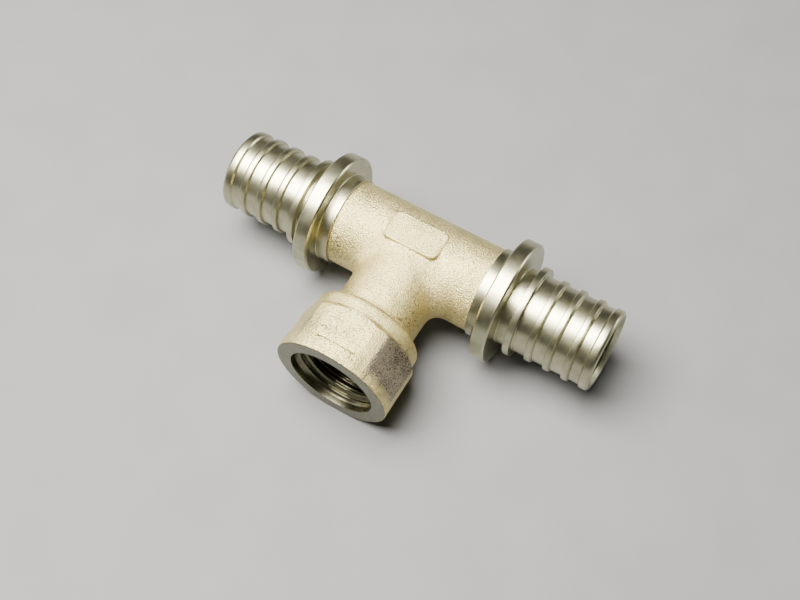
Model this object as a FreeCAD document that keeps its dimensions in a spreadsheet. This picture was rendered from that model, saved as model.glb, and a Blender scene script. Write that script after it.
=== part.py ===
import FreeCAD, Part
import os
import Sketcher

# Female threaded tee
# A cast and machined brass pipe tee, all one piece. The run lies along X and ends in two
# ribbed spigots, each behind a collar that a sleeve is pressed against. The branch points
# along -Y and ends in a hexagonal socket for a female pipe thread. The origin is the
# crossing of the run's axis and the branch's axis, and +Z is the side with the raised pad.

V = FreeCAD.Vector
doc = FreeCAD.newDocument("female_threaded_tee")
sheet = doc.addObject("Spreadsheet::Sheet", "sizes")
sheet.Label = "sizes"

# Driving dimensions in millimetres
SIZES = {
    "runLength": 100.4,
    "spigotLength": 24.15,
    "collarWidth": 3.95,
    "collarHeight": 5.7,
    "collarBreak": 0.4,
    "stepWidth": 3.05,
    "stepHeight": 0.55,
    "runBoreRadius": 8.1,
    "runBoreBreak": 0.7,
    "castWall": 2.5,
    "spigotWall": 1.5,
    "stopRingGap": 2.85,
    "stopRingWidth": 1.6,
    "stopRingHeight": 1.65,
    "ribGap": 3.4,
    "ribPitch": 4.74,
    "ribHeight": 0.7,
    "ribLean": 0.25,
    "ribLand": 1.2,
    "ribRamp": 0.6,
    "lipWidth": 2.6,
    "lipHeight": 0.55,
    "lipLean": 0.4,
    "lipRound": 0.9,
    "branchFace": 38.8,
    "socketLength": 16.9,
    "neckInset": 0.35,
    "neckWall": 1.85,
    "neckBlend": 3.0,
    "hexFlats": 27.0,
    "hexSetback": 3.8,
    "hexFrontBreak": 2.4,
    "shoulderInset": 0.1,
    "shoulderRound": 1.6,
    "shoulderBlend": 1.1,
    "mouthRingWidth": 3.6,
    "mouthHeight": 1.0,
    "mouthBreak": 0.3,
    "threadRadius": 10.48,
    "threadEndWall": 0.87,
    "sinkClearance": 0.3,
    "sinkDepth": 2.2,
    "sinkLand": 1.5,
    "padLength": 13.8,
    "padWidth": 7.8,
    "padMiddle": 0.75,
    "padStand": 0.35,
    "padCorner": 1.2,
}

# What follows from the driving dimensions
# Along the run, each place is a distance from the middle of the tee. Along the branch,
# each place is a distance from the run's axis.
FOLLOWS = {
    "spigotEnd": "runLength / 2",
    "collarOuter": "spigotEnd - spigotLength",
    "collarInner": "collarOuter - collarWidth",
    "stepStart": "collarInner - stepWidth",
    "castRunRadius": "runBoreRadius + castWall",
    "stepRadius": "castRunRadius + stepHeight",
    "rootRadius": "runBoreRadius + spigotWall",
    "insideWall": "runBoreRadius + spigotWall / 2",
    "collarRadius": "rootRadius + collarHeight",
    "stopRingStart": "collarOuter + stopRingGap",
    "stopRingEnd": "stopRingStart + stopRingWidth",
    "stopRingRadius": "rootRadius + stopRingHeight",
    "ribFirst": "stopRingEnd + ribGap",
    "ribLength": "ribLean + ribLand + ribRamp",
    "ribRadius": "rootRadius + ribHeight",
    "lipStart": "spigotEnd - lipWidth",
    "lipRadius": "rootRadius + lipHeight",
    "ribCount": "floor( ( lipStart - ribFirst - ribLength ) / ribPitch ) + 1",
    "shoulderBack": "branchFace - socketLength",
    "hexBack": "shoulderBack + hexSetback",
    "mouthRingStart": "branchFace - mouthRingWidth",
    "neckRadius": "castRunRadius - neckInset",
    "branchBoreRadius": "neckRadius - neckWall",
    "shoulderRadius": "hexFlats / 2 - shoulderInset",
    "mouthRadius": "hexFlats / 2 + mouthHeight",
    "sinkRadius": "threadRadius + sinkClearance",
    "threadEnd": "shoulderBack + threadRadius - neckRadius + threadEndWall",
}

# A fillet is never larger than the room beside it.
FOLLOWS["neckBlendKept"] = "min( neckBlend ; ( stepStart - neckRadius ) * 0.9 )"
FOLLOWS["shoulderRoundKept"] = "min( shoulderRound ; ( shoulderRadius - neckRadius ) * 0.55 )"
FOLLOWS["shoulderBlendKept"] = "min( shoulderBlend ; ( shoulderRadius - neckRadius ) * 0.4 )"

for row, (alias, value) in enumerate(SIZES.items(), start=1):
    sheet.set(f"A{row}", alias)
    sheet.set(f"B{row}", str(value))
    sheet.setAlias(f"B{row}", alias)
doc.recompute()

body = doc.addObject("PartDesign::Body", "tee_body")
body.Label = "tee_body"


def cell(text):
    """Writes a formula out in names of the sheet, with what follows from them put in."""
    words = []
    for word in text.split():
        if word in SIZES:
            words.append(f"sizes.{word}")
        elif word in FOLLOWS:
            words.append(f"({cell(FOLLOWS[word])})")
        else:
            words.append(word)
    return " ".join(words)


def bind(item, field, text):
    """Ties a property of a feature to a formula on the sheet."""
    item.setExpression(field, cell(text))


def value_of(text):
    """Works out a formula on the sheet."""
    return float(sheet.evalExpression(cell(text)))


def base_plane(role):
    """Finds one of the body's own base planes."""
    return next(item for item in body.Origin.OriginFeatures if item.Role == role)


def new_sketch(name, role):
    """Starts a sketch in one of the body's own base planes."""
    sketch = body.newObject("Sketcher::SketchObject", name)
    sketch.AttachmentSupport = (base_plane(role), [""])
    sketch.MapMode = "FlatFace"
    return sketch


def raise_sketch(sketch, text):
    """Lifts a sketch off its base plane by a formula."""
    sketch.AttachmentOffset = FreeCAD.Placement(V(0, 0, value_of(text)), FreeCAD.Rotation())
    bind(sketch, "AttachmentOffset.Base.z", text)


def outline(name, role, corners):
    """Draws a closed outline with straight sides, its corners given as pairs of formulas."""
    sketch = new_sketch(name, role)
    points = [V(value_of(across), value_of(up), 0) for across, up in corners]
    count = len(points)
    for index, point in enumerate(points):
        sketch.addGeometry(Part.LineSegment(point, points[(index + 1) % count]))
    for index in range(count):
        sketch.addConstraint(Sketcher.Constraint("Coincident", index, 2, (index + 1) % count, 1))
    for index, pair in enumerate(corners):
        for kind, axis, text in (("DistanceX", -2, pair[0]), ("DistanceY", -1, pair[1])):
            if text == "0":
                sketch.addConstraint(Sketcher.Constraint("PointOnObject", index, 1, axis))
                continue
            place = value_of(text)
            added = sketch.addConstraint(Sketcher.Constraint(kind, -1, 1, index, 1, place))
            sketch.renameConstraint(added, f"{kind}{index}")
            bind(sketch, f"Constraints.{kind}{index}", text)
    return sketch


def disc(name, role, radius):
    """Draws a circle about the origin of a base plane."""
    sketch = new_sketch(name, role)
    sketch.addGeometry(Part.Circle(V(0, 0, 0), V(0, 0, 1), value_of(radius)))
    sketch.addConstraint(Sketcher.Constraint("Coincident", 0, 3, -1, 1))
    added = sketch.addConstraint(Sketcher.Constraint("Radius", 0, value_of(radius)))
    sketch.renameConstraint(added, "radius")
    bind(sketch, "Constraints.radius", radius)
    return sketch


def finish(feature, merge_faces=False):
    """Builds a feature and stops if it did not turn out as a good shape."""
    feature.Refine = merge_faces
    doc.recompute()
    if "Invalid" in feature.State or feature.Shape.isNull() or not feature.Shape.isValid():
        raise RuntimeError(f"{feature.Label} did not build: {feature.State}")
    return feature


def turned(name, sketch, axis, kind="PartDesign::Revolution"):
    """Turns an outline once around an axis of its own sketch, to add or to cut away."""
    feature = body.newObject(kind, name)
    feature.Profile = sketch
    feature.ReferenceAxis = (sketch, [axis])
    feature.Angle = 360.0
    return finish(feature)


NEARLY_ZERO = 1e-4


def edges_where(test):
    """Lists the body's edges that pass a test, by name."""
    shape = body.Tip.Shape
    return [f"Edge{number}" for number, edge in enumerate(shape.Edges, start=1) if test(edge)]


def on_ring(edge, axis, place, radius):
    """Says whether an edge is a full circle about an axis, at a place and with a radius."""
    curve = edge.Curve
    if not isinstance(curve, Part.Circle) or curve.Axis.cross(axis).Length > NEARLY_ZERO:
        return False
    off_place = (curve.Center - axis * place).Length
    return off_place < NEARLY_ZERO and abs(curve.Radius - radius) < NEARLY_ZERO


def dressed(name, kind, amount, test):
    """Rounds or breaks the edges that pass a test."""
    base = body.Tip
    names = edges_where(test)
    if not names:
        raise RuntimeError(f"{name} found no edge")
    feature = body.newObject(kind, name)
    feature.Base = (base, names)
    bind(feature, "Radius" if kind.endswith("Fillet") else "Size", amount)
    return finish(feature)


ALONG_RUN = V(1, 0, 0)
ALONG_BRANCH = V(0, -1, 0)

# One half of the run
# The cast tube, the turned step beside it, the collar, the stop ring and the end lip are
# one profile, turned about the run's axis.
run_profile = outline("run_profile", "XY_Plane", [
    ("0", "0"),
    ("0", "castRunRadius"),
    ("stepStart", "castRunRadius"),
    ("stepStart", "stepRadius"),
    ("collarInner", "stepRadius"),
    ("collarInner", "collarRadius"),
    ("collarOuter", "collarRadius"),
    ("collarOuter", "rootRadius"),
    ("stopRingStart", "rootRadius"),
    ("stopRingStart", "stopRingRadius"),
    ("stopRingEnd", "stopRingRadius"),
    ("stopRingEnd", "rootRadius"),
    ("lipStart", "rootRadius"),
    ("lipStart + lipLean", "lipRadius"),
    ("spigotEnd", "lipRadius"),
    ("spigotEnd", "0"),
])
turned("run_half", run_profile, "H_Axis")

# Ribs
# A rib rises steeply on the collar's side, has a flat crest, and falls in a longer ramp
# towards the end of the spigot. It starts inside the wall, so that it joins the tube. There
# are as many ribs as fit in front of the end lip.
rib_profile = outline("rib_profile", "XY_Plane", [
    ("ribFirst", "insideWall"),
    ("ribFirst", "rootRadius"),
    ("ribFirst + ribLean", "ribRadius"),
    ("ribFirst + ribLean + ribLand", "ribRadius"),
    ("ribFirst + ribLength", "rootRadius"),
    ("ribFirst + ribLength", "insideWall"),
])
rib = turned("rib", rib_profile, "H_Axis")
ribs = body.newObject("PartDesign::LinearPattern", "ribs")
ribs.Originals = [rib]
ribs.Direction = (rib_profile, ["H_Axis"])
ribs.Mode = "Spacing"
bind(ribs, "Offset", "ribPitch")
bind(ribs, "Occurrences", "ribCount")
body.Tip = ribs
finish(ribs)

# Worked edges of the half
collar_rims = (value_of("collarInner"), value_of("collarOuter"))
dressed("collar_break", "PartDesign::Chamfer", "collarBreak", lambda edge: any(
    on_ring(edge, ALONG_RUN, place, value_of("collarRadius")) for place in collar_rims))
dressed("lip_round", "PartDesign::Fillet", "lipRound", lambda edge: on_ring(
    edge, ALONG_RUN, value_of("spigotEnd"), value_of("lipRadius")))

# The other half is its mirror image.
both_ends = body.newObject("PartDesign::Mirrored", "both_ends")
both_ends.TransformMode = "Whole shape"
both_ends.MirrorPlane = (base_plane("YZ_Plane"), [""])
body.Tip = both_ends
finish(both_ends, merge_faces=True)

# Neck of the branch
neck = body.newObject("PartDesign::Pad", "neck")
neck.Profile = disc("neck_circle", "XZ_Plane", "neckRadius")
bind(neck, "Length", "shoulderBack + shoulderRound")
finish(neck)


def meets_run(edge):
    """Says whether an edge is part of the line where the neck leaves the cast tube."""
    if isinstance(edge.Curve, (Part.Line, Part.Circle)):
        return False
    middle = edge.valueAt((edge.FirstParameter + edge.LastParameter) / 2)
    return middle.y < 0


dressed("neck_blend", "PartDesign::Fillet", "neckBlendKept", meets_run)

# Raised blank pad on top of the run
# Its sides start inside the wall and rise to a flat top. Its outline is a rectangle with
# round corners, so each side is a line and each corner is a quarter of a circle.
pad_outline = new_sketch("pad_outline", "XY_Plane")
raise_sketch(pad_outline, "runBoreRadius")
PAD_SIDES = 4
half_length = value_of("padLength / 2")
half_width = value_of("padWidth / 2")
corner = value_of("padCorner")
pad_centre = V(0, value_of("0 - padMiddle"), 0)
for number in range(PAD_SIDES):
    turn = FreeCAD.Rotation(V(0, 0, 1), 90 * number)
    reach, spread = (half_width, half_length) if number % 2 == 0 else (half_length, half_width)
    start = turn.multVec(V(-spread + corner, -reach, 0)) + pad_centre
    end = turn.multVec(V(spread - corner, -reach, 0)) + pad_centre
    bend = turn.multVec(V(spread - corner, -reach + corner, 0)) + pad_centre
    past = turn.multVec(V(spread, -reach + corner, 0)) + pad_centre
    pad_outline.addGeometry(Part.LineSegment(start, end))
    between = bend + (end + past - bend * 2).normalize() * corner
    pad_outline.addGeometry(Part.Arc(end, between, past))
for number in range(PAD_SIDES):
    side = 2 * number
    next_side = 2 * ((number + 1) % PAD_SIDES)
    pad_outline.addConstraint(Sketcher.Constraint("Tangent", side, 2, side + 1, 1))
    pad_outline.addConstraint(Sketcher.Constraint("Tangent", side + 1, 2, next_side, 1))
    level = "Horizontal" if number % 2 == 0 else "Vertical"
    pad_outline.addConstraint(Sketcher.Constraint(level, side))
    if number:
        pad_outline.addConstraint(Sketcher.Constraint("Equal", 1, side + 1))
added = pad_outline.addConstraint(Sketcher.Constraint("Radius", 1, corner))
pad_outline.renameConstraint(added, "corner")
bind(pad_outline, "Constraints.corner", "padCorner")
pad_reach = (
    ("DistanceY", "0 - padMiddle - padWidth / 2"),
    ("DistanceX", "padLength / 2"),
    ("DistanceY", "0 - padMiddle + padWidth / 2"),
    ("DistanceX", "0 - padLength / 2"),
)
for number, (kind, text) in enumerate(pad_reach):
    side = 2 * number
    place = value_of(text)
    added = pad_outline.addConstraint(Sketcher.Constraint(kind, -1, 1, side, 1, place))
    pad_outline.renameConstraint(added, f"side{side}")
    bind(pad_outline, f"Constraints.side{side}", text)
blank_pad = body.newObject("PartDesign::Pad", "blank_pad")
blank_pad.Profile = pad_outline
bind(blank_pad, "Length", "castWall + padStand")
finish(blank_pad)

# Socket
# A round shoulder and a round mouth ring are turned about the branch's axis. The hexagon
# lies between them with one flat facing +Z, and its corners are turned off at both ends.
socket_profile = outline("socket_profile", "XY_Plane", [
    ("0", "0 - shoulderBack"),
    ("shoulderRadius", "0 - shoulderBack"),
    ("shoulderRadius", "0 - mouthRingStart"),
    ("mouthRadius", "0 - mouthRingStart"),
    ("mouthRadius", "0 - branchFace + mouthBreak"),
    ("mouthRadius - mouthBreak", "0 - branchFace"),
    ("0", "0 - branchFace"),
])
turned("socket", socket_profile, "V_Axis")
dressed("shoulder_round", "PartDesign::Fillet", "shoulderRoundKept", lambda edge: on_ring(
    edge, ALONG_BRANCH, value_of("shoulderBack"), value_of("shoulderRadius")))
dressed("shoulder_blend", "PartDesign::Fillet", "shoulderBlendKept", lambda edge: on_ring(
    edge, ALONG_BRANCH, value_of("shoulderBack"), value_of("neckRadius")))

HEX_SIDES = 6
HEX_TOP_SIDE = 1
hexagon = new_sketch("hexagon", "XZ_Plane")
raise_sketch(hexagon, "hexBack")
corner_reach = value_of("hexFlats / sqrt(3)")
hex_corners = [
    FreeCAD.Rotation(V(0, 0, 1), 360 / HEX_SIDES * number).multVec(V(corner_reach, 0, 0))
    for number in range(HEX_SIDES)
]
for number, corner in enumerate(hex_corners):
    hexagon.addGeometry(Part.LineSegment(corner, hex_corners[(number + 1) % HEX_SIDES]))
guide = hexagon.addGeometry(Part.Circle(V(0, 0, 0), V(0, 0, 1), corner_reach), True)
hexagon.addConstraint(Sketcher.Constraint("Coincident", guide, 3, -1, 1))
for number in range(HEX_SIDES):
    following = (number + 1) % HEX_SIDES
    hexagon.addConstraint(Sketcher.Constraint("Coincident", number, 2, following, 1))
    hexagon.addConstraint(Sketcher.Constraint("PointOnObject", number, 1, guide))
for number in range(1, HEX_SIDES):
    hexagon.addConstraint(Sketcher.Constraint("Equal", 0, number))
hexagon.addConstraint(Sketcher.Constraint("Horizontal", HEX_TOP_SIDE))
half_flats = value_of("hexFlats / 2")
added = hexagon.addConstraint(Sketcher.Constraint("DistanceY", -1, 1, HEX_TOP_SIDE, 1, half_flats))
hexagon.renameConstraint(added, "halfFlats")
bind(hexagon, "Constraints.halfFlats", "hexFlats / 2")
hex_grip = body.newObject("PartDesign::Pad", "hex_grip")
hex_grip.Profile = hexagon
bind(hex_grip, "Length", "branchFace - mouthBreak - hexBack")
finish(hex_grip)

# The hexagon's corners are turned off at 45 degrees towards the shoulder, and in a longer
# taper that ends in the mouth ring's edge.
before_corners = body.Shape.Volume
corner_cut = outline("corner_cut", "XY_Plane", [
    ("shoulderRadius", "0 - hexBack"),
    ("hexFlats", "0 - hexBack"),
    ("hexFlats", "0 - hexBack - hexFlats + shoulderRadius"),
])
turned("corners_behind", corner_cut, "V_Axis", "PartDesign::Groove")
front_cut = outline("front_cut", "XY_Plane", [
    ("mouthRadius", "0 - branchFace + mouthBreak"),
    ("hexFlats", "0 - branchFace + mouthBreak"),
    ("hexFlats", "0 - branchFace + hexFrontBreak"),
    ("hexFlats / sqrt(3)", "0 - branchFace + hexFrontBreak"),
])
turned("corners_in_front", front_cut, "V_Axis", "PartDesign::Groove")
if body.Shape.Volume >= before_corners:
    raise RuntimeError("the hexagon's corners were not turned off")

# Bores
# The run's bore goes right through. The branch's bore is a sink, then the wall that the
# thread is cut in, and a narrower way on into the run.
before_bores = body.Shape.Volume
run_bore = body.newObject("PartDesign::Pocket", "run_bore")
run_bore.Profile = disc("run_bore_circle", "YZ_Plane", "runBoreRadius")
run_bore.Type = "ThroughAll"
run_bore.Midplane = True
finish(run_bore)
branch_bore_profile = outline("branch_bore_profile", "XY_Plane", [
    ("0", "0"),
    ("branchBoreRadius", "0"),
    ("branchBoreRadius", "0 - threadEnd + threadRadius - branchBoreRadius"),
    ("threadRadius", "0 - threadEnd"),
    ("threadRadius", "0 - branchFace + sinkDepth"),
    ("sinkRadius", "0 - branchFace + sinkLand"),
    ("sinkRadius", "0 - branchFace"),
    ("0", "0 - branchFace"),
])
turned("branch_bore", branch_bore_profile, "V_Axis", "PartDesign::Groove")
if body.Shape.Volume >= before_bores:
    raise RuntimeError("the bores cut nothing away")
spigot_ends = (value_of("spigotEnd"), value_of("0 - spigotEnd"))
dressed("bore_break", "PartDesign::Chamfer", "runBoreBreak", lambda edge: any(
    on_ring(edge, ALONG_RUN, place, value_of("runBoreRadius")) for place in spigot_ends))

# Checks of the model, then the files
doc.recompute()
for item in doc.Objects:
    if "Invalid" in item.State or "Error" in item.State:
        raise RuntimeError(f"{item.Label}: {item.State}")
os.makedirs("parts", exist_ok=True)
for part in (body,):
    shape = part.Shape
    if shape.isNull() or not shape.isValid() or len(shape.Solids) != 1:
        raise RuntimeError(f"{part.Label} is not one good solid")
    shape.exportStep(f"parts/{part.Label}.step")
    box = shape.BoundBox
    print(part.Label, "faces", len(shape.Faces), "volume", round(shape.Volume, 1))
    print("box", [round(n, 2) for n in (box.XMin, box.XMax, box.YMin, box.YMax, box.ZMin, box.ZMax)])
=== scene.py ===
"""Female threaded tee in pale plated brass: a blasted casting with turned ends.

The casting is one blended form, written as a rule in Geometry Nodes. The spigots with
their collars, the ribs and the threaded socket mouth are turned pieces laid on it.
Sizes are in millimetres and angles in degrees, unless a line says otherwise.
"""
import logging
import math
from dataclasses import dataclass
from enum import Enum
from typing import Sequence

import bmesh
import bpy
from mathutils import Matrix, Vector


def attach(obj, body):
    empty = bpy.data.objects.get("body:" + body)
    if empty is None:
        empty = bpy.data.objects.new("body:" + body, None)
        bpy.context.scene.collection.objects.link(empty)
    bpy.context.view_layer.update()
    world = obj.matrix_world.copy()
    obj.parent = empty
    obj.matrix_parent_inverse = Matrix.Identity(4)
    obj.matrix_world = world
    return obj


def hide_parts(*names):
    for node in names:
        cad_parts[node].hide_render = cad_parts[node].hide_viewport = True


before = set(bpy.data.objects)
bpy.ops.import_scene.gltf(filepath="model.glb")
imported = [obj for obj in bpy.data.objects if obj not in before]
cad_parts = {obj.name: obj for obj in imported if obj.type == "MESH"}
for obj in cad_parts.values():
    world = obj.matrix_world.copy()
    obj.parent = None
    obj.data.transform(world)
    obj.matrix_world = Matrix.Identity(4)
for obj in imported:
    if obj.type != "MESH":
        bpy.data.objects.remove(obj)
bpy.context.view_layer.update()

LOG = logging.getLogger("tee")

MM = 0.001
NODE = "tee_body"
BODY = "root"
FULL_TURN = 2.0 * math.pi
SLANT = 30.0  # from the run's axis to the normal of a slanting flat of the hexagon
SKIN_LEVEL = 0.5  # the density at the casting's skin
SEGMENTS = 240
ROUND_STEPS = 5

Pair = tuple[float, float]
Triple = tuple[float, float, float]
Colour = tuple[float, float, float]
Stops = tuple[tuple[float, Colour], ...]


class End(Enum):
    """The two ends of the run, with the side of the middle plane each lies on."""

    RIGHT = 1
    LEFT = -1


class Axis(Enum):
    """The axis that a turned piece is turned about."""

    RUN = "run"
    BRANCH = "branch"

    def point(self, along: float, level: float, up: float) -> Triple:
        """Gives the point that lies so far along the axis, level with it and above it.

        Args:
            along: Place along the axis. On the branch it counts outwards, towards -Y.
            level: Distance from the axis to the side.
            up: Height over the axis.

        Returns:
            The point's coordinates.
        """
        if self is Axis.RUN:
            return (along, level, up)
        return (level, -along, up)


def feed(tree: bpy.types.NodeTree, socket: bpy.types.NodeSocket, source: object) -> None:
    """Links a socket, or sets it.

    Args:
        tree: The node tree.
        socket: The input that is fed.
        source: A Number or an output socket to link, or a plain value to set.
    """
    if isinstance(source, Number):
        source = source.source
    if isinstance(source, bpy.types.NodeSocket):
        tree.links.new(source, socket)
    else:
        socket.default_value = source


class Number:
    """A number inside a node tree, with arithmetic that adds the nodes it needs."""

    def __init__(self, tree: bpy.types.NodeTree, source: "bpy.types.NodeSocket | float") -> None:
        """Keeps the tree and the socket or plain value that the number comes from."""
        self.tree = tree
        self.source = source

    def apply(self, operation: str, *others: "Number | float") -> "Number":
        """Adds one math node.

        Args:
            operation: The node's operation, such as MULTIPLY.
            others: What comes after this number in the operation.

        Returns:
            The result as a number of the same tree.
        """
        node = self.tree.nodes.new("ShaderNodeMath")
        node.operation = operation
        for socket, item in zip(node.inputs, (self, *others)):
            feed(self.tree, socket, item)
        return Number(self.tree, node.outputs[0])

    def __add__(self, other: "Number | float") -> "Number":
        """Adds."""
        return self.apply("ADD", other)

    def __sub__(self, other: "Number | float") -> "Number":
        """Takes away."""
        return self.apply("SUBTRACT", other)

    def __rsub__(self, other: float) -> "Number":
        """Takes this number away from a plain one."""
        return Number(self.tree, other).apply("SUBTRACT", self)

    def __mul__(self, other: "Number | float") -> "Number":
        """Multiplies."""
        return self.apply("MULTIPLY", other)

    def __truediv__(self, other: "Number | float") -> "Number":
        """Divides, and gives zero where the divisor is zero."""
        return self.apply("DIVIDE", other)

    def __neg__(self) -> "Number":
        """Turns the sign round."""
        return self * -1.0

    def __abs__(self) -> "Number":
        """Drops the sign."""
        return self.apply("ABSOLUTE")

    def fold(self, operation: str, others: "Sequence[Number | float]") -> "Number":
        """Applies one operation with each of several numbers in turn.

        Args:
            operation: The math node's operation.
            others: The numbers.

        Returns:
            The last result.
        """
        result = self
        for other in others:
            result = result.apply(operation, other)
        return result

    def at_least(self, *others: "Number | float") -> "Number":
        """Gives the largest of this number and the others."""
        return self.fold("MAXIMUM", others)

    def at_most(self, *others: "Number | float") -> "Number":
        """Gives the smallest of this number and the others."""
        return self.fold("MINIMUM", others)

    def share(self) -> "Number":
        """Holds the number between 0 and 1."""
        return self.at_least(0.0).at_most(1.0)

    def across(self, other: "Number") -> "Number":
        """Gives the length of the right angle's long side, from its two short ones."""
        return (self * self + other * other).apply("SQRT")


def soft_union(one: Number, two: Number, reach: "Number | float") -> Number:
    """Joins two forms with a fillet between them.

    Args:
        one: Distance outside the first form.
        two: Distance outside the second form.
        reach: How far from the corner the fillet starts, in the same unit.

    Returns:
        The distance outside the joined form.
    """
    near = (reach - abs(one - two)).at_least(0.0)
    return one.at_most(two) - near * near / (reach * 4.0)


def soft_common(one: Number, two: Number, reach: "Number | float") -> Number:
    """Keeps what two forms share, with the edge between them rounded.

    Args:
        one: Distance outside the first form.
        two: Distance outside the second form.
        reach: How far from the edge the rounding starts, in the same unit.

    Returns:
        The distance outside the shared form.
    """
    return -soft_union(-one, -two, reach)


@dataclass(frozen=True)
class Speckle:
    """An even noise: its cells in one metre, and how many finer layers lie on it."""

    scale: float
    detail: float


class Builder:
    """A node tree under construction, with short ways to add its nodes."""

    def __init__(self, tree: bpy.types.NodeTree) -> None:
        """Keeps the tree."""
        self.tree = tree

    def node(self, kind: str, **inputs: object) -> bpy.types.Node:
        """Adds a node and fills in its inputs.

        Args:
            kind: The node's type.
            inputs: Values, numbers or sockets by the input's name, with _ for a space.

        Returns:
            The node.
        """
        node = self.tree.nodes.new(kind)
        for name, value in inputs.items():
            feed(self.tree, node.inputs[name.replace("_", " ")], value)
        return node

    def noise(self, speckle: Speckle, **inputs: object) -> Number:
        """Adds an even noise.

        Args:
            speckle: How fine it is.
            inputs: Other inputs of the node.

        Returns:
            The noise from 0 to 1.
        """
        node = self.node("ShaderNodeTexNoise", Scale=speckle.scale, Detail=speckle.detail, **inputs)
        return Number(self.tree, node.outputs["Fac"])

    def split(self, position: bpy.types.NodeSocket) -> tuple[Number, Number, Number]:
        """Splits a position in metres.

        Args:
            position: The position's socket.

        Returns:
            Its three coordinates in millimetres.
        """
        node = self.node("ShaderNodeSeparateXYZ", Vector=position)
        return tuple(Number(self.tree, output) * (1.0 / MM) for output in node.outputs)


class Rule(Builder):
    """A Geometry Nodes tree with named sizes, which bakes its result to a plain mesh."""

    def __init__(self, name: str) -> None:
        """Starts the tree with its way in and its way out.

        Args:
            name: The tree's name.
        """
        super().__init__(bpy.data.node_groups.new(name, "GeometryNodeTree"))
        sockets = self.tree.interface
        sockets.new_socket("Geometry", in_out="INPUT", socket_type="NodeSocketGeometry")
        sockets.new_socket("Geometry", in_out="OUTPUT", socket_type="NodeSocketGeometry")
        self.entry = self.node("NodeGroupInput")
        self.exit = self.node("NodeGroupOutput")
        self.sizes: dict[str, float | int] = {}

    def size(self, name: str, value: float) -> Number:
        """Adds a named input.

        Args:
            name: The input's name.
            value: What the modifier sets it to.

        Returns:
            The input as a number of the tree.
        """
        kind = "NodeSocketInt" if isinstance(value, int) else "NodeSocketFloat"
        item = self.tree.interface.new_socket(name, in_out="INPUT", socket_type=kind)
        self.sizes[item.identifier] = value
        return Number(self.tree, self.entry.outputs[name])

    def place(self) -> tuple[Number, Number, Number]:
        """Gives a point's three coordinates in millimetres."""
        return self.split(self.node("GeometryNodeInputPosition").outputs[0])

    def bake(self, name: str, mesh: bpy.types.Mesh, result: bpy.types.NodeSocket,
             material: bpy.types.Material) -> bpy.types.Object:
        """Ends the tree, runs it on a mesh and keeps what it makes.

        Args:
            name: The name of the finished piece.
            mesh: What goes into the tree.
            result: The geometry that comes out of the rule.
            material: The finish that the tree gives its result.

        Returns:
            The finished object, with no modifier left on it.
        """
        whole = self.node("GeometryNodeRealizeInstances", Geometry=result)
        dressed = self.node("GeometryNodeSetMaterial", Geometry=whole.outputs[0], Material=material)
        feed(self.tree, self.exit.inputs[0], dressed.outputs[0])
        host = add_object(f"{name}_host", mesh)
        modifier = host.modifiers.new("rule", "NODES")
        modifier.node_group = self.tree
        for identifier, value in self.sizes.items():
            modifier[identifier] = value
        return settle(name, host, material)


def add_object(name: str, data: bpy.types.ID) -> bpy.types.Object:
    """Adds an object to the scene.

    Args:
        name: The object's name.
        data: Its mesh, light or camera.

    Returns:
        The object, at the origin.
    """
    thing = bpy.data.objects.new(name, data)
    bpy.context.scene.collection.objects.link(thing)
    return thing


def settle(name: str, host: bpy.types.Object, material: bpy.types.Material) -> bpy.types.Object:
    """Turns an object and its modifiers into a plain mesh of its own.

    Args:
        name: The name of the finished piece.
        host: The object that carries the modifiers.
        material: The finish of the piece.

    Returns:
        The finished object. The host is removed.
    """
    graph = bpy.context.evaluated_depsgraph_get()
    graph.update()
    mesh = bpy.data.meshes.new_from_object(host.evaluated_get(graph), depsgraph=graph)
    mesh.name = name
    mesh.materials.clear()
    mesh.materials.append(material)
    mesh.shade_smooth()
    bpy.data.objects.remove(host)
    return add_object(name, mesh)


def take_mesh(piece: bpy.types.Object) -> bpy.types.Mesh:
    """Takes the mesh out of an object and removes the object.

    Args:
        piece: The object.

    Returns:
        Its mesh.
    """
    mesh = piece.data
    bpy.data.objects.remove(piece)
    return mesh


def with_even_faces(name: str, mesh: bpy.types.Mesh,
                    material: bpy.types.Material) -> bpy.types.Object:
    """Keeps flat faces flat beside rounded edges.

    Args:
        name: The name of the finished piece.
        mesh: The piece's mesh.
        material: Its finish.

    Returns:
        The finished object.
    """
    mesh.shade_smooth()
    host = add_object(f"{name}_host", mesh)
    even = host.modifiers.new("even_faces", "WEIGHTED_NORMAL")
    even.mode = "FACE_AREA"
    return settle(name, host, material)


def rounded(corners: Sequence[Triple]) -> list[Pair]:
    """Rounds the corners of a closed outline.

    Args:
        corners: Each corner's two coordinates and the radius of its rounding.

    Returns:
        The outline's points in order.
    """
    points: list[Pair] = []
    count = len(corners)
    for index, (across, up, radius) in enumerate(corners):
        if radius <= 0.0:
            points.append((across, up))
            continue
        here = Vector((across, up))
        before = (Vector(corners[index - 1][:2]) - here).normalized()
        after = (Vector(corners[(index + 1) % count][:2]) - here).normalized()
        half = before.angle(after) / 2.0
        centre = here + (before + after).normalized() * (radius / math.sin(half))
        first = here + before * (radius / math.tan(half)) - centre
        last = here + after * (radius / math.tan(half)) - centre
        for step in range(ROUND_STEPS):
            turn = first.slerp(last, step / (ROUND_STEPS - 1))
            points.append(tuple(centre + turn * radius))
    return points


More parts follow.
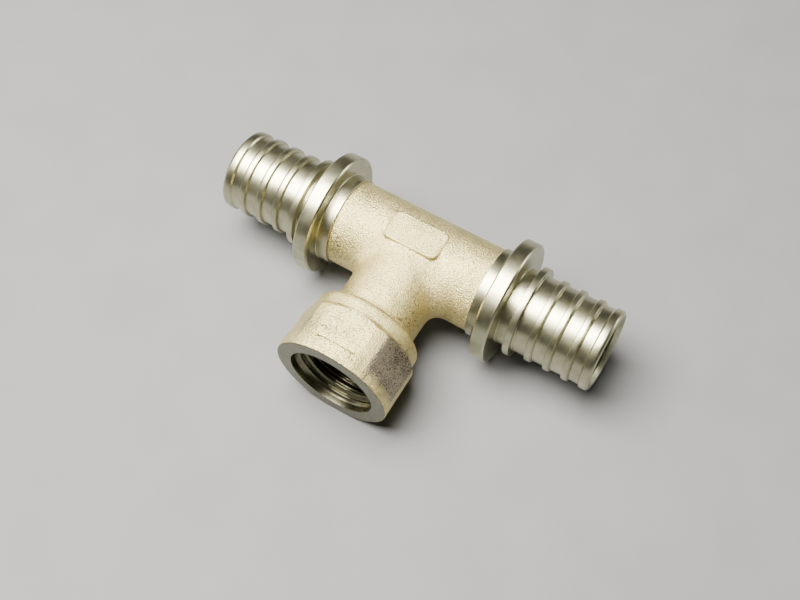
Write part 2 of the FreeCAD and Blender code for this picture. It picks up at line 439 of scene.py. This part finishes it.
def lathe(name: str, outline: Sequence[Pair], axis: Axis) -> bpy.types.Mesh:
    """Turns a closed outline once around an axis.

    Args:
        name: The mesh's name.
        outline: Places along the axis and radii.
        axis: The axis.

    Returns:
        A closed mesh with its faces turned outwards.
    """
    form = bmesh.new()
    rings = []
    for step in range(SEGMENTS):
        angle = FULL_TURN * step / SEGMENTS
        level, up = math.cos(angle), math.sin(angle)
        points = (axis.point(along, radius * level, radius * up) for along, radius in outline)
        rings.append([form.verts.new(Vector(point) * MM) for point in points])
    for step in range(SEGMENTS):
        here, following = rings[step], rings[(step + 1) % SEGMENTS]
        for index in range(len(outline)):
            onward = (index + 1) % len(outline)
            form.faces.new((here[index], here[onward], following[onward], following[index]))
    bmesh.ops.recalc_face_normals(form, faces=form.faces)
    mesh = bpy.data.meshes.new(name)
    form.to_mesh(mesh)
    form.free()
    return mesh


class Shader(Builder):
    """A material under construction, round one principled shader."""

    def __init__(self, name: str) -> None:
        """Starts the material.

        Args:
            name: The material's name.
        """
        self.material = bpy.data.materials.new(name)
        self.material.use_nodes = True
        super().__init__(self.material.node_tree)
        self.surface = next(n for n in self.tree.nodes if n.type == "BSDF_PRINCIPLED")
        self.coordinates = self.node("ShaderNodeTexCoord").outputs["Object"]

    def speckle(self, speckle: Speckle) -> Number:
        """Adds an even noise over the object, from 0 to 1."""
        return self.noise(speckle, Vector=self.coordinates)

    def ramp(self, source: Number, stops: Stops) -> bpy.types.NodeSocket:
        """Turns a number into a colour.

        Args:
            source: The number that is read.
            stops: Where each colour stands, and the colour.

        Returns:
            The colour's socket.
        """
        node = self.node("ShaderNodeValToRGB", Fac=source)
        band = node.color_ramp
        while len(band.elements) < len(stops):
            band.elements.new(0.5)
        for element, (place, colour) in zip(band.elements, stops):
            element.position = place
            element.color = (*colour, 1.0)
        return node.outputs["Color"]

    def mix(self, share: Number, one: bpy.types.NodeSocket,
            two: bpy.types.NodeSocket) -> bpy.types.NodeSocket:
        """Blends two colours.

        Args:
            share: How much of the second colour shows, from 0 to 1.
            one: The first colour's socket.
            two: The second colour's socket.

        Returns:
            The blended colour's socket.
        """
        return self.node("ShaderNodeMixRGB", Fac=share, Color1=one, Color2=two).outputs[0]

    def relief(self, height: Number, depth: float,
               below: "bpy.types.NodeSocket | None" = None) -> bpy.types.NodeSocket:
        """Adds a bump.

        Args:
            height: The relief, where 1 stands one depth proud of 0.
            depth: The relief's depth in metres.
            below: The normal of a bump that lies under this one.

        Returns:
            The normal's socket.
        """
        node = self.node("ShaderNodeBump", Strength=1.0, Distance=depth, Height=height)
        if below is not None:
            feed(self.tree, node.inputs["Normal"], below)
        return node.outputs["Normal"]

    def drive(self, name: str, source: "Number | bpy.types.NodeSocket | float") -> None:
        """Feeds a number, colour, normal or plain value into the shader."""
        feed(self.tree, self.surface.inputs[name], source)

    def place(self) -> tuple[Number, Number, Number]:
        """Gives the object's three coordinates in millimetres."""
        return self.split(self.coordinates)


@dataclass(frozen=True)
class CastFinish:
    """Blasted casting: matte, with a fine even grain and a slow change of tone, and painted shade
    on one flat of the hexagon.
    """

    name: str = "blasted_casting"
    even_tones: Stops = (
        (0.34, (0.10, 0.085, 0.043)), (0.46, (0.61, 0.52, 0.245)), (0.60, (0.84, 0.715, 0.34)))
    # Painted shade: darker, harsher tones for the one slanting flat that faces away from the light.
    shaded_flat_tones: Stops = ((0.41, (0.045, 0.037, 0.028)), (0.56, (0.40, 0.35, 0.26)))
    grain: Speckle = Speckle(3000.0, 3.0)
    fine: Speckle = Speckle(7000.0, 2.0)
    cloud: Speckle = Speckle(170.0, 4.0)
    grain_share: float = 0.62
    cloud_share: float = 0.28
    fine_share: float = 0.10
    metallic: float = 1.0
    roughness: float = 0.42
    roughness_spread: float = 0.16
    grain_depth: float = 0.0003  # metres, as all depths of relief are
    fine_depth: float = 0.00007
    flat_half: float = 26.5
    flat_fade: float = 2.5
    flat_start: float = 25.5
    flat_end: float = 37.6
    flat_end_fade: float = 2.0

    def build(self) -> bpy.types.Material:
        """Builds the material.

        Returns:
            The finished material.
        """
        shader = Shader(self.name)
        grain = shader.speckle(self.grain)
        fine = shader.speckle(self.fine)
        cloud = shader.speckle(self.cloud)
        tone = grain * self.grain_share + cloud * self.cloud_share + fine * self.fine_share
        even = shader.ramp(tone, self.even_tones)
        shaded = shader.ramp(tone, self.shaded_flat_tones)
        # Painted shade: the flat that slants towards +X and +Z takes the darker tones.
        shader.drive("Base Color", shader.mix(self.painted_shade_flat(shader), even, shaded))
        shader.drive("Metallic", self.metallic)
        smoothest = self.roughness - self.roughness_spread / 2.0
        shader.drive("Roughness", grain * self.roughness_spread + smoothest)
        pits = shader.relief(grain, self.grain_depth)
        shader.drive("Normal", shader.relief(fine, self.fine_depth, pits))
        return shader.material

    def painted_shade_flat(self, shader: Shader) -> Number:
        """Marks the one flat of the hexagon that gets painted shade: darker, coarser tones where it
        faces away from the light.

        Args:
            shader: The material under construction.

        Returns:
            One on that flat, fading to zero at its edges.
        """
        x, y, z = shader.place()
        turn = z.apply("ARCTAN2", x) * math.degrees(1.0)
        beside = (self.flat_half - abs(turn - SLANT)) * (1.0 / self.flat_fade)
        ends = (-y - self.flat_start).at_most((y + self.flat_end) * (1.0 / self.flat_end_fade))
        return beside.at_most(ends).share()


@dataclass(frozen=True)
class TurnedFinish:
    """Turned metal: bright, with fine rings round the axis that the tool left."""

    name: str
    axis: Axis
    tones: Stops = ((0.34, (0.34, 0.33, 0.22)), (0.66, (0.54, 0.52, 0.36)))
    smoothest: float = 0.19
    fine_roughness: float = 0.14
    stain_roughness: float = 0.10
    ring_scale: float = 7.0  # cells in one millimetre of the tool's path
    fine_ring_scale: float = 26.0  # in the same unit
    ring_detail: float = 2.0
    ring_depth: float = 0.000012
    rings_in_tone: float = 0.35
    rings_in_relief: float = 0.6
    radius_in_sweep: float = 1.37  # how much closer rings lie on a face than on a cylinder
    stain: Speckle = Speckle(260.0, 3.0)

    def build(self) -> bpy.types.Material:
        """Builds the material.

        Returns:
            The finished material.
        """
        shader = Shader(self.name)
        x, y, z = shader.place()
        along, level = (x, y) if self.axis is Axis.RUN else (y, x)
        sweep = along + level.across(z) * self.radius_in_sweep
        rings = self.ring_noise(shader, sweep, self.ring_scale)
        fine = self.ring_noise(shader, sweep, self.fine_ring_scale)
        stain = shader.speckle(self.stain)
        tone = rings * self.rings_in_tone + stain * (1.0 - self.rings_in_tone)
        shader.drive("Base Color", shader.ramp(tone, self.tones))
        shader.drive("Metallic", 1.0)
        rough = fine * self.fine_roughness + stain * self.stain_roughness + self.smoothest
        shader.drive("Roughness", rough)
        height = rings * self.rings_in_relief + fine * (1.0 - self.rings_in_relief)
        shader.drive("Normal", shader.relief(height, self.ring_depth))
        return shader.material

    def ring_noise(self, shader: Shader, sweep: Number, scale: float) -> Number:
        """Adds a noise that changes only along the tool's path.

        Args:
            shader: The material under construction.
            sweep: Distance along the outline.
            scale: Cells in one millimetre.

        Returns:
            The noise from 0 to 1.
        """
        node = shader.node("ShaderNodeTexNoise", Scale=scale, Detail=self.ring_detail)
        node.noise_dimensions = "1D"
        feed(shader.tree, node.inputs["W"], sweep)
        return Number(shader.tree, node.outputs["Fac"])


@dataclass(frozen=True)
class Spot:
    """Where a point lies, in the part's own coordinates and as the two tubes see it."""

    x: Number
    y: Number
    z: Number
    out: Number  # outwards along the branch
    rho: Number  # from the branch's axis
    tau: Number  # from the run's axis

    @classmethod
    def of(cls, rule: Rule) -> "Spot":
        """Reads the point that a rule works on.

        Args:
            rule: The tree.

        Returns:
            The point.
        """
        x, y, z = rule.place()
        return cls(x, y, z, -y, x.across(z), y.across(z))


@dataclass
class Casting:
    """The cast middle: run tube, neck, blank pad, shoulder, hexagon and mouth ring."""

    material: bpy.types.Material
    run_radius: float = 10.6
    run_half: float = 19.3
    run_bore: float = 8.12
    neck_radius: float = 10.25
    neck_overlap: float = 2.0
    neck_blend: float = 4.2
    top_blend: float = 2.4
    shoulder_back: float = 21.9
    shoulder_radius: float = 13.4
    shoulder_round: float = 1.6
    shoulder_blend: float = 1.6
    hex_flats: float = 27.0
    corner_radius: float = 14.6
    corner_blend: float = 0.14
    hex_back: float = 25.7
    hex_front_break: float = 2.4
    mouth_ring: float = 35.2
    mouth_radius: float = 14.5
    mouth_end: float = 38.74
    seat_radius: float = 11.3
    seat_start: float = 23.3
    thread_radius: float = 10.48
    thread_end: float = 23.0
    branch_bore: float = 8.4
    pad_length: float = 14.2
    pad_width: float = 7.8
    pad_middle: float = -0.75
    pad_height: float = 10.95
    pad_corner: float = 1.6
    pad_blend: float = 0.26
    edge_blend: float = 0.2
    overlap: float = 1.0
    unevenness: float = 0.10
    lumps: Speckle = Speckle(240.0, 2.0)
    density_fall: float = 0.25  # in one millimetre outwards through the skin
    margin: float = 2.0
    hex_margin: float = 3.5  # from the upper and lower flat, to take in the round corners
    voxel: float = 0.2
    adaptivity: float = 0.012

    def tube(self, rule: Rule, at: Spot) -> Number:
        """Writes the run and the neck, blended most where they cross at a right angle.

        Args:
            rule: The tree.
            at: The point.

        Returns:
            Distance outside the two.
        """
        run_radius = rule.size("Run radius", self.run_radius)
        neck_radius = rule.size("Neck radius", self.neck_radius)
        blend = rule.size("Neck blend", self.neck_blend)
        run = (at.tau - run_radius).at_least(abs(at.x) - self.run_half)
        neck_end = self.shoulder_back + self.neck_overlap
        neck = (at.rho - neck_radius).at_least(at.y, at.out - neck_end)
        facing = at.z * at.z / (at.rho * at.tau)  # the cosine between the two surfaces
        return soft_union(run, neck, (blend * (1.0 - facing)).at_least(self.top_blend))

    def pad(self, at: Spot) -> Number:
        """Writes the blank raised pad.

        Args:
            at: The point.

        Returns:
            Distance outside the pad.
        """
        corner = self.pad_corner
        over_x = (abs(at.x) - (self.pad_length / 2 - corner)).at_least(0.0)
        over_y = (abs(at.y - self.pad_middle) - (self.pad_width / 2 - corner)).at_least(0.0)
        sides = over_x.across(over_y) - corner
        return sides.at_least(at.z - self.pad_height, self.run_bore - at.z)

    def shoulder(self, at: Spot) -> Number:
        """Writes the round shoulder behind the hexagon.

        Args:
            at: The point.

        Returns:
            Distance outside the shoulder.
        """
        inset = self.shoulder_round
        over = (at.rho - (self.shoulder_radius - inset)).at_least(0.0)
        back = (self.shoulder_back + inset - at.out).at_least(0.0)
        return (over.across(back) - inset).at_least(at.out - (self.mouth_ring + self.overlap))

    def socket(self, rule: Rule, at: Spot) -> Number:
        """Writes the hexagon, its turned-down corners and ends, and the mouth ring.

        Args:
            rule: The tree.
            at: The point.

        Returns:
            Distance outside the two.
        """
        flats = rule.size("Hexagon across flats", self.hex_flats)
        slant = at.x * math.cos(math.radians(SLANT))
        half = at.z * math.sin(math.radians(SLANT))
        pair = soft_common(abs(half + slant), abs(half - slant), self.corner_blend)
        sides = soft_common(pair, abs(at.z), self.corner_blend) - flats * 0.5
        turned = at.rho - rule.size("Radius over corners", self.corner_radius)
        sides = soft_common(sides, turned, self.corner_blend)
        behind = (at.rho - (self.shoulder_radius - self.hex_back) - at.out) * math.sqrt(0.5)
        sharp_corner = self.hex_flats / math.sqrt(3.0)
        slope = (sharp_corner - self.mouth_radius) / self.hex_front_break
        ahead = at.rho - self.mouth_radius - (self.mouth_end - at.out) * slope
        ends = soft_common(behind, ahead * math.cos(math.atan(slope)), self.edge_blend)
        ends = ends.at_least((self.hex_back - self.overlap) - at.out)
        grip = soft_common(sides, ends, self.edge_blend)
        ring_radius = rule.size("Mouth radius", self.mouth_radius)
        ring = (at.rho - ring_radius).at_least(self.mouth_ring - at.out)
        return soft_union(grip, ring, self.edge_blend)

    def bored(self, body: Number, at: Spot) -> Number:
        """Opens the run's bore, and the branch's with its cone and the lining's seat.

        Args:
            body: Distance outside the casting without its bores.
            at: The point.

        Returns:
            Distance outside the casting with them.
        """
        widening = self.thread_radius - self.branch_bore
        cone = (at.out - (self.thread_end - widening)).at_least(0.0).at_most(widening)
        seat = at.out.apply("GREATER_THAN", self.seat_start)
        bore = cone + self.branch_bore + seat * (self.seat_radius - self.thread_radius)
        return body.at_least((bore - at.rho).at_most(at.out), self.run_bore - at.tau)

    def form(self, rule: Rule) -> Number:
        """Writes the whole casting as one distance.

        Args:
            rule: The tree.

        Returns:
            Distance outside the casting.
        """
        at = Spot.of(rule)
        body = soft_union(self.tube(rule, at), self.pad(at), self.pad_blend)
        body = soft_union(body, self.shoulder(at), self.shoulder_blend)
        body = soft_union(body, self.socket(rule, at), self.edge_blend)
        uneven = (rule.noise(self.lumps) - 0.5) * self.unevenness
        body = (body + uneven).at_least(at.out - self.mouth_end)
        return self.bored(body, at)

    def build(self) -> bpy.types.Object:
        """Builds the casting.

        Returns:
            The finished piece.
        """
        rule = Rule("casting_form")
        density = (SKIN_LEVEL - self.form(rule) * self.density_fall).share()
        side = self.run_half + self.margin
        height = self.hex_flats / 2 + self.hex_margin
        low = Vector((-side, -self.mouth_end - self.margin, -height))
        high = Vector((side, self.run_radius + self.margin, height))
        cells = [int((b - a) / self.voxel) for a, b in zip(low, high)]
        volume = rule.node("GeometryNodeVolumeCube", Density=density, Min=low * MM, Max=high * MM,
                           Resolution_X=cells[0], Resolution_Y=cells[1], Resolution_Z=cells[2])
        skin = rule.node("GeometryNodeVolumeToMesh", Volume=volume.outputs[0],
                         Threshold=SKIN_LEVEL, Adaptivity=self.adaptivity)
        seed = bpy.data.meshes.new("casting_seed")
        return rule.bake("casting", seed, skin.outputs[0], self.material)


@dataclass
class Spigot:
    """A turned end of the run: step, collar, stop ring, root and end lip."""

    end: End
    material: bpy.types.Material
    step_start: float = 19.05
    step_radius: float = 11.15
    collar_inner: float = 22.1
    collar_outer: float = 26.05
    collar_radius: float = 15.3
    collar_break: float = 0.4
    root_radius: float = 9.6
    stop_start: float = 28.9
    stop_width: float = 1.6
    stop_radius: float = 11.25
    lip_start: float = 47.6
    lip_lean: float = 0.4
    lip_radius: float = 10.15
    lip_round: float = 0.9
    tip: float = 50.2
    bore: float = 8.1
    bore_break: float = 1.1
    edge: float = 0.12
    corner: float = 0.25

    def outline(self) -> list[Pair]:
        """Gives the outline of the wall, from the bore round the outside and back.

        Returns:
            Places along the run, outwards on the right, and radii.
        """
        stop_end = self.stop_start + self.stop_width
        rim = self.collar_radius - self.collar_break
        return rounded([
            (self.step_start, self.bore, 0.0),
            (self.step_start, self.step_radius, self.edge),
            (self.collar_inner, self.step_radius, self.corner),
            (self.collar_inner, rim, self.edge),
            (self.collar_inner + self.collar_break, self.collar_radius, self.edge),
            (self.collar_outer - self.collar_break, self.collar_radius, self.edge),
            (self.collar_outer, rim, self.edge),
            (self.collar_outer, self.root_radius, self.corner),
            (self.stop_start, self.root_radius, self.corner),
            (self.stop_start, self.stop_radius, self.edge),
            (stop_end, self.stop_radius, self.edge),
            (stop_end, self.root_radius, self.corner),
            (self.lip_start, self.root_radius, self.corner),
            (self.lip_start + self.lip_lean, self.lip_radius, self.edge),
            (self.tip, self.lip_radius, self.lip_round),
            (self.tip, self.bore + self.bore_break, self.edge),
            (self.tip - self.bore_break, self.bore, self.edge),
        ])

    def build(self) -> bpy.types.Object:
        """Builds the turned end.

        Returns:
            The finished piece.
        """
        name = f"{self.end.name.lower()}_spigot"
        outline = [(place * self.end.value, radius) for place, radius in self.outline()]
        return with_even_faces(name, lathe(name, outline, Axis.RUN), self.material)


@dataclass
class Ribs:
    """The saw-tooth ribs of one spigot, each a turned ring, set out at an even pitch."""

    end: End
    material: bpy.types.Material
    first: float = 33.9
    pitch: float = 4.74
    count: int = 3
    root_radius: float = 9.6
    radius: float = 10.3
    lean: float = 0.25
    land: float = 1.2
    ramp: float = 0.6
    foot: float = 0.6
    edge: float = 0.12

    def outline(self) -> list[Pair]:
        """Gives the outline of the first rib, with a foot inside the wall.

        Returns:
            Places along the run, outwards on the right, and radii.
        """
        foot = self.root_radius - self.foot
        crest_end = self.first + self.lean + self.land
        return rounded([
            (self.first, foot, 0.0),
            (self.first, self.root_radius, 0.0),
            (self.first + self.lean, self.radius, self.edge),
            (crest_end, self.radius, self.edge),
            (crest_end + self.ramp, self.root_radius, 0.0),
            (crest_end + self.ramp, foot, 0.0),
        ])

    def build(self) -> bpy.types.Object:
        """Builds the ribs.

        Returns:
            The finished piece.
        """
        name = f"{self.end.name.lower()}_ribs"
        outline = [(place * self.end.value, radius) for place, radius in self.outline()]
        ring = lathe(f"{name}_one", outline, Axis.RUN)
        rule = Rule(f"{name}_row")
        count = rule.size("Count", self.count)
        pitch = rule.size("Pitch", self.pitch * MM * self.end.value)
        step = rule.node("ShaderNodeCombineXYZ", X=pitch)
        row = rule.node("GeometryNodeMeshLine", Count=count, Offset=step.outputs[0])
        copies = rule.node("GeometryNodeInstanceOnPoints", Points=row.outputs[0],
                           Instance=rule.entry.outputs[0])
        piece = rule.bake(name, ring, copies.outputs[0], self.material)
        return with_even_faces(name, take_mesh(piece), self.material)


@dataclass
class SocketMouth:
    """The turned face of the socket, its sink, and the female thread behind it."""

    material: bpy.types.Material
    face: float = 38.8
    mouth_radius: float = 14.42
    band: float = 0.7
    face_break: float = 0.1
    sink_radius: float = 10.78
    sink_land: float = 1.5
    sink_depth: float = 2.2
    thread_radius: float = 10.48
    thread_start: float = 23.0
    thread_depth: float = 1.162
    thread_flat: float = 0.13  # the share of half a turn that is flat at crest and root
    pitch: float = 1.814
    outer_radius: float = 11.4
    edge: float = 0.05
    row_step: float = 0.12
    run_out: float = 0.8  # where the thread fades, at each of its ends
    wall_slack: float = 0.01  # keeps the thread off everything wider than its wall

    def outline(self) -> list[Pair]:
        """Gives the outline of the lining, with close rows where the thread will be.

        Returns:
            Places along the branch, counted outwards, and radii.
        """
        top = self.face - self.sink_depth
        band_start = self.face - self.band
        corners = [
            (self.thread_start, self.outer_radius, 0.0),
            (band_start, self.outer_radius, 0.0),
            (band_start, self.mouth_radius - self.edge, 0.0),
            (band_start + self.edge, self.mouth_radius, 0.0),
            (self.face - self.face_break, self.mouth_radius, self.edge),
            (self.face, self.mouth_radius - self.face_break, self.edge),
            (self.face, self.sink_radius, self.edge),
            (self.face - self.sink_land, self.sink_radius, self.edge),
            (top, self.thread_radius, 0.0),
        ]
        rows = int((top - self.thread_start) / self.row_step)
        step = (top - self.thread_start) / rows
        wall = [(top - step * row, self.thread_radius) for row in range(1, rows + 1)]
        return rounded(corners) + wall

    def ridge(self, rule: Rule, at: Spot) -> Number:
        """Writes the thread: a helical ridge on the wall that fades at both its ends.

        Args:
            rule: The tree.
            at: The point.

        Returns:
            The ridge's height at the point, from 0 to 1.
        """
        turn = at.z.apply("ARCTAN2", at.x) * (1.0 / FULL_TURN)
        phase = (at.out / rule.size("Pitch", self.pitch) - turn).apply("FRACT")
        flank = 1.0 - abs(phase * 2.0 - 1.0)
        ridge = ((flank - self.thread_flat) * (1.0 / (1.0 - 2.0 * self.thread_flat))).share()
        from_mouth = ((self.face - self.sink_depth) - at.out) * (1.0 / self.run_out)
        from_end = (at.out - self.thread_start) * (1.0 / self.run_out)
        fade = from_mouth.at_most(from_end).share()
        wall = at.rho.apply("LESS_THAN", self.thread_radius + self.wall_slack)
        return ridge * fade * wall

    def build(self) -> bpy.types.Object:
        """Builds the mouth and raises its thread.

        Returns:
            The finished piece.
        """
        lining = lathe("socket_lining", self.outline(), Axis.BRANCH)
        rule = Rule("thread_rule")
        at = Spot.of(rule)
        depth = rule.size("Depth", self.thread_depth)
        scale = 1.0 - self.ridge(rule, at) * depth / at.rho
        moved = rule.node("ShaderNodeCombineXYZ", X=at.x * scale * MM, Y=at.y * MM,
                          Z=at.z * scale * MM)
        threaded = rule.node("GeometryNodeSetPosition", Geometry=rule.entry.outputs[0],
                             Position=moved.outputs[0])
        piece = rule.bake("socket_mouth", lining, threaded.outputs[0], self.material)
        return with_even_faces("socket_mouth", take_mesh(piece), self.material)


@dataclass(frozen=True)
class Lamp:
    """One soft light, with its place and size in metres and its power in watts."""

    name: str
    place: Triple
    width: float
    depth: float
    power: float
    colour: Colour

    def hang(self) -> None:
        """Adds the light to the scene, turned towards the object."""
        lamp = bpy.data.lights.new(self.name, "AREA")
        lamp.shape = "RECTANGLE"
        lamp.size = self.width
        lamp.size_y = self.depth
        lamp.energy = self.power
        lamp.color = self.colour
        holder = add_object(self.name, lamp)
        holder.location = self.place
        holder.rotation_euler = Vector(self.place).to_track_quat("Z", "Y").to_euler()


@dataclass
class Studio:
    """Pale floor, soft lights and the camera at the photograph's angle."""

    floor_height: float = -15.3
    mouth_height: float = -14.5
    mouth_place: float = -38.5
    floor_half: float = 900.0
    floor_cloud: Speckle = Speckle(60.0, 3.0)
    floor_tones: Stops = ((0.3, (0.128, 0.131, 0.138)), (0.7, (0.139, 0.142, 0.149)))
    floor_roughness: float = 0.7
    lamps: tuple[Lamp, ...] = (
        Lamp("overhead", (-0.14, -0.06, 0.50), 0.34, 0.42, 20.5, (1.0, 0.965, 0.87)),
        Lamp("fill", (0.42, 0.45, 0.10), 0.30, 0.14, 1.2, (1.0, 0.97, 0.90)),
        Lamp("edge", (-0.50, -0.20, 0.20), 0.10, 0.40, 0.4, (1.0, 0.99, 0.96)),
    )
    sky_colour: Colour = (0.74, 0.76, 0.66)
    sky_strength: float = 0.07
    azimuth: float = 33.308
    elevation: float = 61.458
    roll: float = -2.443
    distance: float = 287.646
    aside: float = -4.351
    above: float = -10.521
    lens: float = 54.13
    sensor: float = 36.0
    nearest: float = 10.0

    def floor(self) -> None:
        """Lays the floor under the two collars and the edge of the socket's mouth."""
        slope = (self.mouth_height - self.floor_height) / self.mouth_place
        mesh = bpy.data.meshes.new("floor")
        half = self.floor_half
        corners = [(-half, -half), (half, -half), (half, half), (-half, half)]
        points = [Vector((x, y, self.floor_height + slope * y)) * MM for x, y in corners]
        mesh.from_pydata(points, [], [(0, 1, 2, 3)])
        floor = add_object("floor", mesh)
        shader = Shader("pale_floor")
        cloud = shader.speckle(self.floor_cloud)
        shader.drive("Base Color", shader.ramp(cloud, self.floor_tones))
        shader.drive("Roughness", self.floor_roughness)
        mesh.materials.append(shader.material)

    def lights(self) -> None:
        """Hangs one large soft light overhead and a weaker one on either side, in a dim sky."""
        for lamp in self.lamps:
            lamp.hang()
        world = bpy.data.worlds.new("studio")
        world.use_nodes = True
        background = world.node_tree.nodes["Background"]
        background.inputs["Color"].default_value = (*self.sky_colour, 1.0)
        background.inputs["Strength"].default_value = self.sky_strength
        bpy.context.scene.world = world

    def camera(self) -> None:
        """Sets the camera where the photograph was taken from."""
        around = math.radians(self.azimuth)
        raise_by = math.radians(self.elevation)
        roll = math.radians(self.roll)
        flat = math.cos(raise_by)
        back = Vector((math.sin(around) * flat, -math.cos(around) * flat, math.sin(raise_by)))
        level = Vector((math.cos(around), math.sin(around), 0.0))
        raised = back.cross(level)
        right = level * math.cos(roll) + raised * math.sin(roll)
        up = raised * math.cos(roll) - level * math.sin(roll)
        place = back * self.distance + right * self.aside + up * self.above
        lens = bpy.data.cameras.new("camera")
        lens.lens = self.lens
        lens.sensor_width = self.sensor
        lens.clip_start = self.nearest * MM
        holder = add_object("camera", lens)
        turn = Matrix((right, up, back)).transposed()
        holder.matrix_world = Matrix.Translation(place * MM) @ turn.to_4x4()
        bpy.context.scene.camera = holder

    def build(self) -> None:
        """Builds the whole studio."""
        self.floor()
        self.lights()
        self.camera()


def dress(piece: bpy.types.Object) -> None:
    """Ties a finished piece to the tee and reports it.

    Args:
        piece: The finished piece.
    """
    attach(piece, BODY)
    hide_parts(NODE)
    piece.data.calc_loop_triangles()
    LOG.info("%s: %d triangles", piece.name, len(piece.data.loop_triangles))


def main() -> None:
    """Builds the tee and its studio."""
    logging.basicConfig(level=logging.INFO, format="%(name)s %(message)s")
    cast = CastFinish().build()
    run_finish = TurnedFinish("turned_run", Axis.RUN).build()
    # Painted shade: very dark tones on the mouth's turned face, standing in for the dark
    # surroundings it reflects.
    shaded_branch_finish = TurnedFinish(
        "turned_branch_painted_shade",
        Axis.BRANCH,
        tones=((0.34, (0.11, 0.105, 0.063)), (0.66, (0.17, 0.163, 0.11))),
        smoothest=0.16,
    ).build()
    dress(Casting(cast).build())
    for end in End:
        dress(Spigot(end, run_finish).build())
        dress(Ribs(end, run_finish).build())
    dress(SocketMouth(shaded_branch_finish).build())
    Studio().build()


if __name__ == "__main__":
    main()
